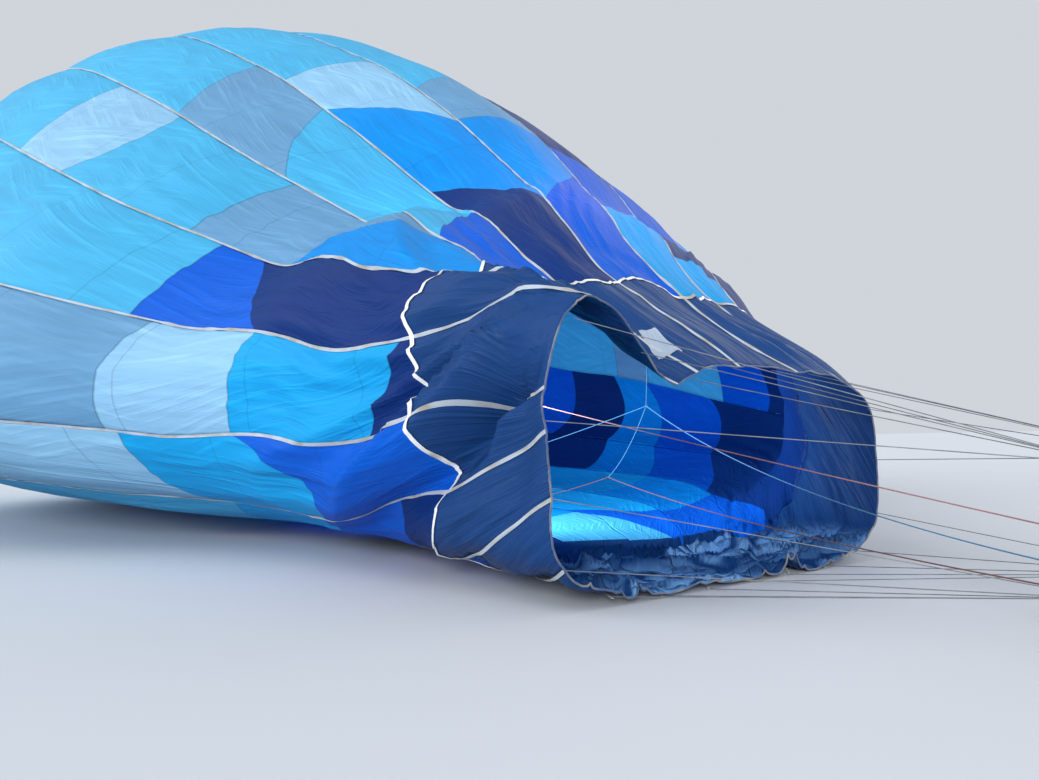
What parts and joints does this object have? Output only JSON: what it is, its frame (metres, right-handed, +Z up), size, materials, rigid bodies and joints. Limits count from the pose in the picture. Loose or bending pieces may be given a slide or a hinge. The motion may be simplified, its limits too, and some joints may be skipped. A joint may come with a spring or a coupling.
{
  "type": "hot air balloon",
  "caption": "Hot air balloon lying on its side, mouth held open, part filled with cold air, with its basket laid down and its burner gimballed in a load frame.",
  "frame": {"origin": "on the ground under the middle of the mouth", "axes": "+Z up, +X from the crown out through the mouth towards the basket, -Y the near flank"},
  "size_m": [23.578, 16.7272, 10.3653],
  "materials": {
    "fabric_sky": "coated nylon, light blue",
    "fabric_azure": "coated nylon, azure",
    "fabric_royal": "coated nylon, royal blue",
    "fabric_navy": "coated nylon, navy",
    "fabric_slate": "flame-proof cloth, slate blue",
    "load_tape": "woven tape",
    "red_leather": "padded, stitched",
    "wicker": "woven cane",
    "plywood": "varnished plywood",
    "stainless": "stainless",
    "cast_aluminium": "cast",
    "tank_aluminium": "spun, brushed"
  },
  "bodies": {
    "envelope_and_basket": {"gore_01": "fabric_royal", "gore_02": "fabric_azure", "gore_03": "fabric_sky", "gore_04": "fabric_azure", "gore_05": "fabric_royal", "gore_06": "fabric_azure", "gore_07": "fabric_sky", "gore_08": "fabric_azure", "gore_09": "fabric_royal", "gore_10": "fabric_azure", "gore_11": "fabric_sky", "gore_12": "fabric_azure", "gore_13": "fabric_royal", "gore_14": "fabric_azure", "gore_15": "fabric_sky", "gore_16": "fabric_azure", "gore_17": "fabric_royal", "gore_18": "fabric_azure", "gore_19": "fabric_sky", "gore_20": "fabric_azure", "mouth_panel_1": "fabric_slate", "mouth_panel_2": "fabric_slate", "mouth_panel_3": "fabric_slate", "mouth_panel_4": "fabric_slate", "mouth_panel_5": "fabric_slate", "crown_tapes": "load_tape", "flying_wires_low_near": "stainless", "flying_wires_low_far": "stainless", "flying_wires_top_far": "stainless", "flying_wires_top_near": "stainless", "wire_link_low_near": "stainless", "wire_link_low_far": "stainless", "wire_link_top_far": "stainless", "wire_link_top_near": "stainless", "load_frame": "stainless", "upright_low_near": "red_leather", "upright_low_far": "red_leather", "upright_top_far": "red_leather", "upright_top_near": "red_leather", "basket_floor": "plywood", "wall_low": "wicker", "wall_top": "wicker", "wall_near": "wicker", "wall_far": "wicker", "rim_pad": "red_leather", "fuel_tank_1": "tank_aluminium", "fuel_tank_2": "tank_aluminium", "fuel_tank_3": "tank_aluminium"},
    "gimbal": {"gimbal_frame": "stainless"},
    "burner": {"burner_block": "cast_aluminium", "burner_can_1": "stainless", "burner_can_2": "stainless", "burner_coil_1": "stainless", "burner_coil_2": "stainless"},
    "vent": {"vent_panel": "fabric_navy"}
  },
  "joints": [
    {"name": "gimbal_tilt", "type": "hinge", "parent": "envelope_and_basket", "child": "gimbal", "pos_m": [2.64, 0.15, 0.617], "axis": [0, 1, 0], "range_deg": [-20, 20]},
    {"name": "burner_tilt", "type": "hinge", "parent": "gimbal", "child": "burner", "pos_m": [2.64, 0.15, 0.617], "axis": [0, 0, 1], "range_deg": [-20, 20]},
    {"name": "vent_slide", "type": "slide", "parent": "envelope_and_basket", "child": "vent", "axis": [1, 0, 0], "range_m": [0, 1]}
  ]
}
